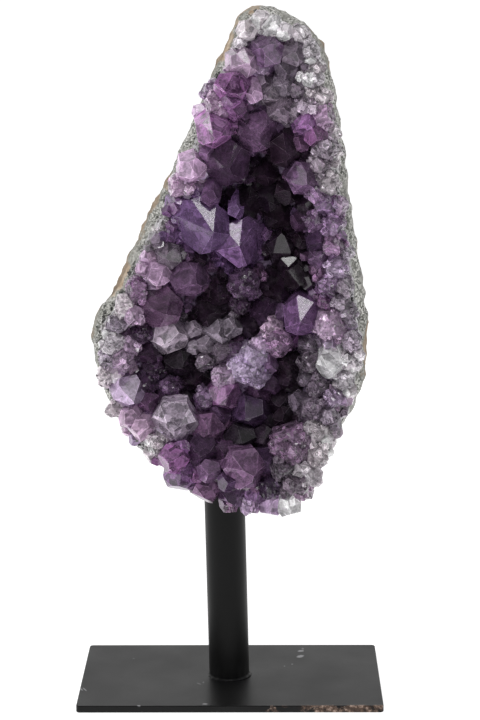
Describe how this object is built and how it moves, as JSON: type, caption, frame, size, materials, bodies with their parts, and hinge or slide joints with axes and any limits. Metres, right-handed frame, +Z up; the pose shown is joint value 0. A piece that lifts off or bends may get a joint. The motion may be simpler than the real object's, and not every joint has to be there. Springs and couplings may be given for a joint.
{
  "type": "amethyst specimen on stand",
  "caption": "Upright piece of geode wall with a front of pointed amethyst crystals, on a slim round post and a flat rectangular base plate",
  "frame": {"origin": "middle of the base plate's underside, on the surface the object stands on", "axes": "+Z up, +X to the viewer's right, -Y towards the viewer, so that the crystals face -Y"},
  "size_m": [0.127, 0.0762, 0.2869],
  "materials": {
    "stand_plate": "satin",
    "stand_post": "satin",
    "rock": "matte",
    "crystals": "polished"
  },
  "bodies": {
    "root": {"base_plate": "stand_plate", "post": "stand_post", "host_rock": "rock", "amethyst_crystals": "crystals"}
  },
  "joints": []
}
